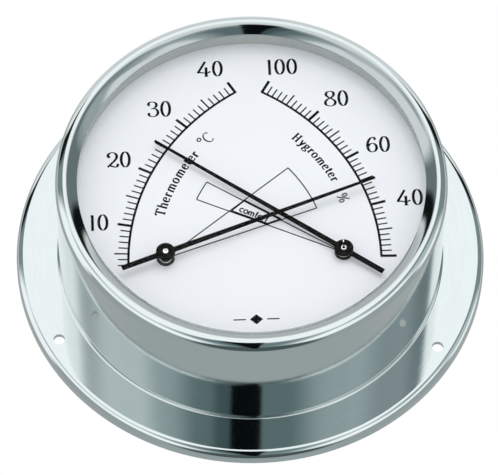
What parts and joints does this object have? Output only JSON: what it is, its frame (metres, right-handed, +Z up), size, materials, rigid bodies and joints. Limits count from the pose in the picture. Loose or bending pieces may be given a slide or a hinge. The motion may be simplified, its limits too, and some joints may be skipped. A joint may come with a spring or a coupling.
{
  "type": "ship's thermometer and hygrometer",
  "caption": "Ship's comfort meter: a bimetal thermometer and a coil hygrometer behind one glass in a polished steel case with a bulkhead flange, crossed black pointers and a comfort zone",
  "frame": {"origin": "Centre of the flange's back plane, where the case axis meets the bulkhead", "axes": "+Y into the bulkhead along the case axis (the dial faces -Y), +Z up through twelve o'clock, +X to the right seen from the front"},
  "size_m": [0.11, 0.036, 0.11],
  "materials": {
    "polished_steel": "mirror-polished pressed stainless steel",
    "clear_glass": "clear flat glass",
    "black_rubber": "matt black sealing rubber",
    "white_plastic": "satin white moulded ring",
    "white_lacquer": "cool white lacquered plate with printed scales",
    "black_lacquer": "satin black lacquer",
    "black_plastic": "satin black moulding",
    "turned_brass": "turned bright brass",
    "turned_steel": "turned bright steel",
    "bimetal": "rolled two-metal strip",
    "humidity_strip": "thin coated strip that swells with damp",
    "zinc_plate": "zinc-plated pressed steel"
  },
  "bodies": {
    "case": {"back_cover": "black_plastic", "case_lug_1": "zinc_plate", "case_lug_2": "zinc_plate", "case_lug_3": "zinc_plate", "case_shell": "polished_steel", "cover_screw_1": "turned_steel", "cover_screw_2": "turned_steel", "cover_screw_3": "turned_steel", "dial_plate": "white_lacquer", "dial_spacer_ring": "white_plastic", "hygrometer_bridge": "zinc_plate", "hygrometer_bushing": "turned_steel", "hygrometer_dial_collar": "black_plastic", "hygrometer_lower_bridge_screw": "turned_steel", "hygrometer_lower_pillar": "turned_brass", "hygrometer_upper_bridge_screw": "turned_steel", "hygrometer_upper_pillar": "turned_brass", "lens": "clear_glass", "lens_gasket": "black_rubber", "movement_plate": "black_plastic", "post_screw_1": "turned_steel", "post_screw_2": "turned_steel", "post_screw_3": "turned_steel", "spacer_post_1": "zinc_plate", "spacer_post_2": "zinc_plate", "spacer_post_3": "zinc_plate", "thermometer_bridge": "zinc_plate", "thermometer_bushing": "turned_steel", "thermometer_dial_collar": "black_plastic", "thermometer_lower_bridge_screw": "turned_steel", "thermometer_lower_pillar": "turned_brass", "thermometer_upper_bridge_screw": "turned_steel", "thermometer_upper_pillar": "turned_brass"},
    "hygrometer_setting": {"hygrometer_adjuster": "turned_brass", "hygrometer_anchor_arm": "zinc_plate", "hygrometer_coil_stud": "turned_brass"},
    "hygrometer_movement": {"hygrometer_arbor": "turned_steel", "hygrometer_collet": "turned_brass", "hygrometer_coil": "humidity_strip", "hygrometer_hub": "black_lacquer", "hygrometer_pointer": "black_lacquer"},
    "thermometer_setting": {"thermometer_adjuster": "turned_brass", "thermometer_anchor_arm": "zinc_plate", "thermometer_coil_stud": "turned_brass"},
    "thermometer_movement": {"thermometer_arbor": "turned_steel", "thermometer_collet": "turned_brass", "thermometer_coil": "bimetal", "thermometer_hub": "black_lacquer", "thermometer_pointer": "black_lacquer"}
  },
  "joints": [
    {"name": "hygrometer_adjust", "type": "hinge", "parent": "case", "child": "hygrometer_setting", "pos_m": [-0.0203, -0.018, -0.01716], "axis": [0, 1, 0], "range_deg": [-3, 3]},
    {"name": "hygrometer_turn", "type": "hinge", "parent": "hygrometer_setting", "child": "hygrometer_movement", "pos_m": [-0.0203, -0.03, -0.01716], "axis": [0, -1, 0], "range_deg": [-24.4, 43], "stiffness_Nm_per_rad": 0.001},
    {"name": "thermometer_adjust", "type": "hinge", "parent": "case", "child": "thermometer_setting", "pos_m": [0.0203, -0.018, -0.01716], "axis": [0, 1, 0], "range_deg": [-3, 3]},
    {"name": "thermometer_turn", "type": "hinge", "parent": "thermometer_setting", "child": "thermometer_movement", "pos_m": [0.0203, -0.03, -0.01716], "axis": [0, -1, 0], "range_deg": [-27, 31.2], "stiffness_Nm_per_rad": 0.001}
  ]
}
